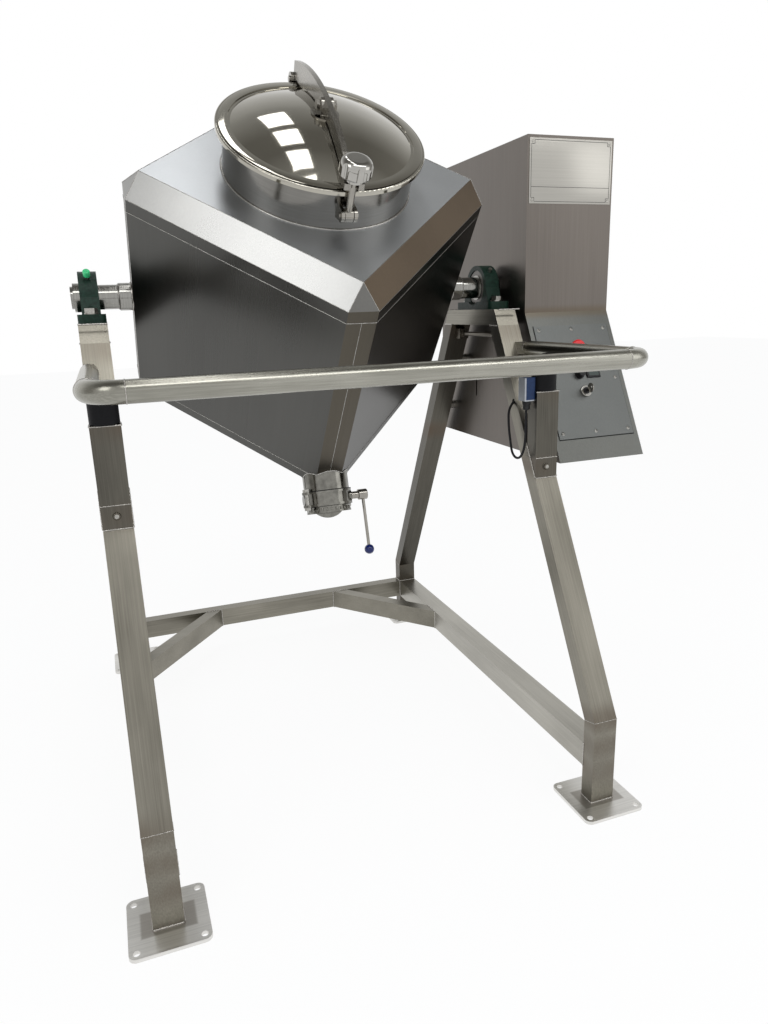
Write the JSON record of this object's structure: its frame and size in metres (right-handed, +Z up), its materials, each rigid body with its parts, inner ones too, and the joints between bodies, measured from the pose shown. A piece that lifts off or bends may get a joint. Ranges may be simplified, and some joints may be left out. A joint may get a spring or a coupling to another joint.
{
  "type": "powder mixer",
  "caption": "Stainless tumbling mixer: a bevelled cube vessel with a clamped lid and bottom butterfly valve on a cross axle between two braced side frames.",
  "frame": {"origin": "middle of the overall footprint at floor level", "axes": "X along the vessel's axle towards the drive housing, Y backwards from the guard rail, Z up"},
  "size_m": [1.3754, 1.4025, 1.696],
  "materials": {
    "frame_steel": "warm satin-brushed stainless tube with welded joints",
    "vessel_steel": "fine satin stainless sheet",
    "axle_steel": "turned stainless bar",
    "polished_steel": "mirror-polished stainless",
    "cover_steel": "brushed stainless sheet",
    "panel_steel": "cooler brushed stainless sheet",
    "cast_green": "dark green enamel on cast iron",
    "bearing_steel": "plain machined steel",
    "cap_green": "bright green plastic",
    "black_rubber": "solid black rubber",
    "silicone": "off-white food-grade silicone",
    "switch_silver": "silver die-cast switch case",
    "cable_black": "black rubber-sheathed cable",
    "black_plastic": "matte black plastic",
    "stop_red": "red plastic",
    "ball_blue": "blue plastic",
    "reducer_aluminium": "cast aluminium",
    "motor_paint": "grey-blue paint"
  },
  "bodies": {
    "frame": {"left_front_leg": "frame_steel", "right_front_leg": "frame_steel", "left_rear_leg": "frame_steel", "right_rear_leg": "frame_steel", "left_top_beam": "frame_steel", "right_top_beam": "frame_steel", "left_bearing_housing": "cast_green", "right_bearing_housing": "cast_green", "left_base_beam": "frame_steel", "right_base_beam": "frame_steel", "rear_base_beam": "frame_steel", "corner_braces": "frame_steel", "left_front_foot": "frame_steel", "left_rear_foot": "frame_steel", "right_front_foot": "frame_steel", "right_rear_foot": "frame_steel", "tie_rods": "bearing_steel", "bearing_inserts": "bearing_steel", "bearing_fixings": "bearing_steel", "grease_cap": "cap_green", "left_rail_post": "frame_steel", "right_rail_post": "frame_steel", "rail_pads": "black_rubber", "rail_hinges": "frame_steel", "safety_switch": "switch_silver", "switch_cable": "cable_black", "drive_cover": "cover_steel", "cover_fixings": "bearing_steel", "front_panel": "panel_steel", "panel_screws": "polished_steel", "stop_body": "black_plastic", "key_bezel": "polished_steel", "display": "black_plastic", "gear_reducer": "reducer_aluminium", "drive_motor": "motor_paint"},
    "vessel": {"vessel_shell": "vessel_steel", "manway_neck": "vessel_steel", "manway_gasket": "silicone", "left_axle": "axle_steel", "right_axle": "axle_steel", "lid_hinge_bracket": "vessel_steel", "bolt_bracket": "vessel_steel", "outlet_tube": "vessel_steel", "valve_body": "vessel_steel", "valve_bolts": "bearing_steel"},
    "lid": {"lid_dome": "polished_steel", "lid_arm": "frame_steel", "lid_stud": "bearing_steel"},
    "bolt": {"swing_bolt": "polished_steel"},
    "knob": {"clamp_knob": "polished_steel"},
    "valve": {"valve_disc": "polished_steel", "valve_lever": "polished_steel", "lever_ball": "ball_blue"},
    "rail": {"rail_bar": "frame_steel", "left_rail_arm": "frame_steel", "right_rail_arm": "frame_steel"},
    "stop_button": {"stop_head": "stop_red"},
    "key_switch": {"key_barrel": "black_plastic", "key": "polished_steel"},
    "dial": {"speed_dial": "black_plastic"}
  },
  "joints": [
    {"name": "vessel_spin", "type": "hinge", "parent": "frame", "child": "vessel", "pos_m": [-0.11025, 0.00775, 1.2], "axis": [1, 0, 0], "continuous": true},
    {"name": "lid_open", "type": "hinge", "parent": "vessel", "child": "lid", "pos_m": [-0.11025, -0.05232, 1.66349], "axis": [-1, 0, 0], "range_deg": [0, 95]},
    {"name": "bolt_swing", "type": "hinge", "parent": "vessel", "child": "bolt", "pos_m": [-0.11025, -0.39833, 1.3344], "axis": [1, 0, 0], "range_deg": [0, 95]},
    {"name": "knob_turn", "type": "hinge", "parent": "bolt", "child": "knob", "pos_m": [-0.11025, -0.45497, 1.40434], "axis": [0, -0.6293, 0.7771], "continuous": true},
    {"name": "valve_handle", "type": "hinge", "parent": "vessel", "child": "valve", "pos_m": [-0.11025, -0.13381, 0.69759], "axis": [-1, 0, 0], "range_deg": [0, 90]},
    {"name": "guard_rail", "type": "hinge", "parent": "frame", "child": "rail", "pos_m": [-0.11025, -0.20725, 1.046], "axis": [-1, 0, 0], "range_deg": [0, 40]},
    {"name": "stop_press", "type": "slide", "parent": "frame", "child": "stop_button", "axis": [0, 0.8922, -0.4517], "range_m": [0, 0.005], "stiffness_N_per_m": 1500},
    {"name": "key_turn", "type": "hinge", "parent": "frame", "child": "key_switch", "pos_m": [0.55875, -0.25574, 0.931], "axis": [0, -0.8922, 0.4517], "range_deg": [0, 90]},
    {"name": "dial_turn", "type": "hinge", "parent": "frame", "child": "dial", "pos_m": [0.55425, -0.23397, 0.974], "axis": [0, -0.8922, 0.4517], "range_deg": [0, 270]}
  ]
}
